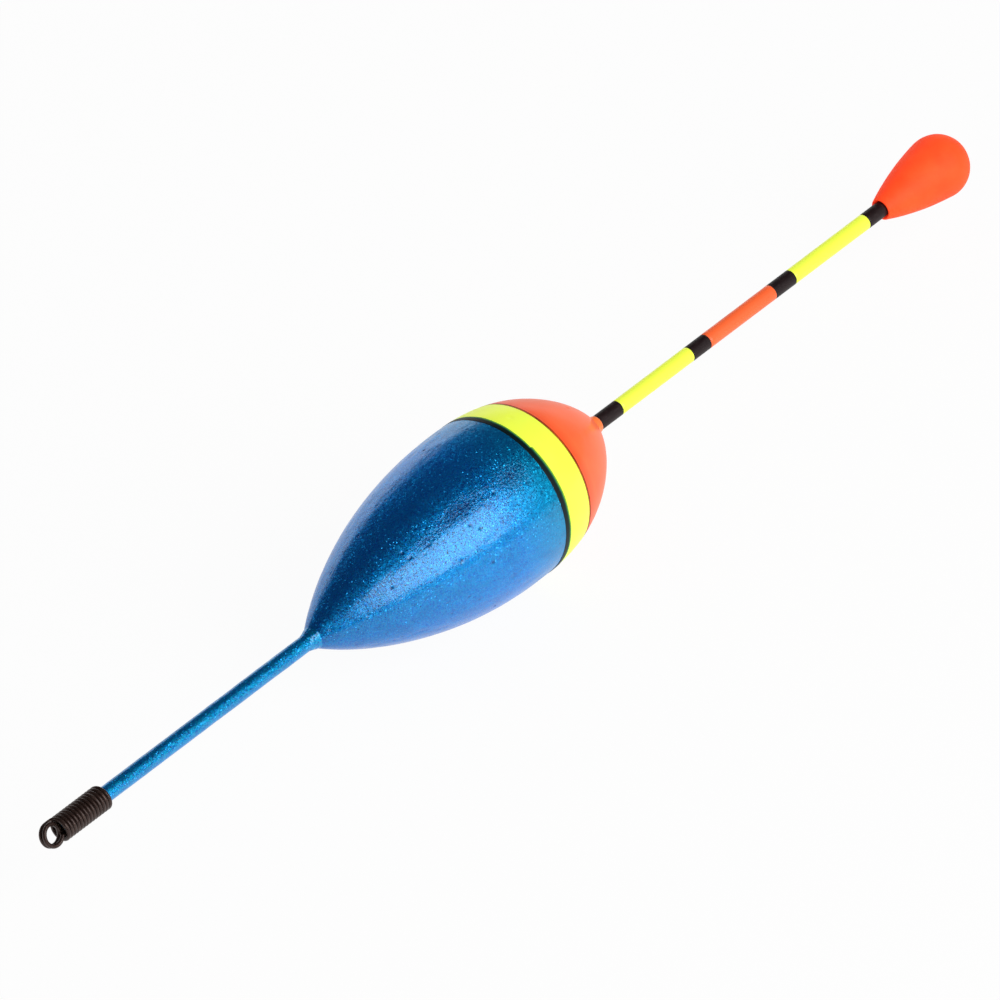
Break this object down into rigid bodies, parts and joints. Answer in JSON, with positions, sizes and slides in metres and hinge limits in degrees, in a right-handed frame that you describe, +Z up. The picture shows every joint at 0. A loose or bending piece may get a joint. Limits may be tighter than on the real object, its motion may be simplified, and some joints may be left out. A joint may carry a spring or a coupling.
{
  "type": "fishing float",
  "caption": "Stick fishing float: drop-shaped balsa body, wooden keel stem with spring line eye, banded antenna and push-on sight bulb.",
  "frame": {"origin": "centre of the line eye, on the float's axis", "axes": "+X along the float from the line eye to the sight bulb, +Z up with the float lying level on its side"},
  "size_m": [0.1797, 0.0226, 0.0226],
  "materials": {
    "balsa": "bare balsa under the paint",
    "keel_wood": "bare hardwood dowel",
    "blue_lacquer": "glossy blue lacquer with fine metallic flake",
    "black_paint": "satin black paint",
    "yellow_paint": "fluorescent yellow gloss paint",
    "brown_paint": "thin line where orange paint overlaps yellow",
    "orange_paint": "fluorescent orange gloss paint",
    "orange_bush": "plastic bush under orange paint",
    "antenna_tube": "bare plastic tube",
    "spring_wire": "blackened steel spring wire",
    "bulb_plastic": "matte fluorescent orange-red plastic"
  },
  "bodies": {
    "float": {"balsa_body": "balsa", "keel_stem": "keel_wood", "keel_lacquer": "blue_lacquer", "keel_fillet": "blue_lacquer", "blue_lacquer": "blue_lacquer", "lower_pinstripe": "black_paint", "yellow_band": "yellow_paint", "upper_pinstripe": "brown_paint", "orange_cap": "orange_paint", "antenna_bush": "orange_bush", "antenna_tube": "antenna_tube", "antenna_black_1": "black_paint", "antenna_yellow_1": "yellow_paint", "antenna_black_2": "black_paint", "antenna_orange": "orange_paint", "antenna_black_3": "black_paint", "antenna_yellow_2": "yellow_paint", "antenna_black_4": "black_paint", "spring_eye": "spring_wire"},
    "bulb": {"sight_bulb": "bulb_plastic"}
  },
  "joints": [
    {"name": "bulb_slide", "type": "slide", "parent": "float", "child": "bulb", "axis": [1, 0, 0], "range_m": [0, 0.01]}
  ]
}
